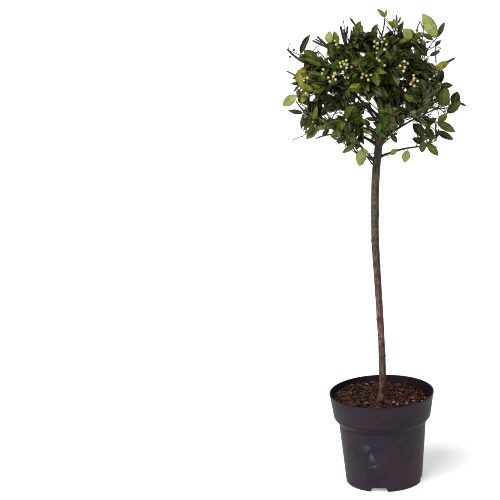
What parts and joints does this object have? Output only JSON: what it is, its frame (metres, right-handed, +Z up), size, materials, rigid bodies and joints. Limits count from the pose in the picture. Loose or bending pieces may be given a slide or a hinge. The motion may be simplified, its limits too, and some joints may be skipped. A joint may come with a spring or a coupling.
{
  "type": "standard holly in a pot",
  "caption": "Evergreen shrub grown as a standard: a clear slim stem in a round nursery pot of compost, with a rounded lollipop head of boughs, glossy leaves and berries.",
  "frame": {"origin": "centre of the pot's flat underside, on the surface that the plant stands on", "axes": "+Z up along the stem, +X to the viewer's right in the picture, -Y towards the viewer"},
  "size_m": [0.4759, 0.4412, 1.2839],
  "materials": {
    "pot": "dark purplish grey moulded plastic, dull, lightly scuffed",
    "compost": "moist reddish brown chunky bark compost",
    "bark": "smooth grey-green bark with purplish brown stretches, small pale pores and moss",
    "foliage": "glossy dark green leathery leaves, some olive or pale yellow-green, with yellow-green berries"
  },
  "bodies": {
    "root": {"pot": "pot", "compost": "compost", "stem": "bark", "bough_low_right": "bark", "bough_low_left": "bark", "bough_low_back": "bark", "bough_skirt_right": "bark", "bough_skirt_back_right": "bark", "bough_skirt_back_left": "bark", "bough_skirt_left": "bark", "bough_skirt_front_left": "bark", "bough_skirt_front_right": "bark", "bough_upper_right": "bark", "bough_upper_back_right": "bark", "bough_upper_back": "bark", "bough_upper_back_left": "bark", "bough_upper_left": "bark", "bough_upper_front": "bark", "bough_top_right": "bark", "bough_top_left": "bark", "bough_top_front": "bark", "foliage_low_right": "foliage", "foliage_low_left": "foliage", "foliage_low_back": "foliage", "foliage_skirt_right": "foliage", "foliage_skirt_back_right": "foliage", "foliage_skirt_back_left": "foliage", "foliage_skirt_left": "foliage", "foliage_skirt_front_left": "foliage", "foliage_skirt_front_right": "foliage", "foliage_upper_right": "foliage", "foliage_upper_back_right": "foliage", "foliage_upper_back": "foliage", "foliage_upper_back_left": "foliage", "foliage_upper_left": "foliage", "foliage_upper_front": "foliage", "foliage_top_right": "foliage", "foliage_top_left": "foliage", "foliage_top_front": "foliage"}
  },
  "joints": []
}
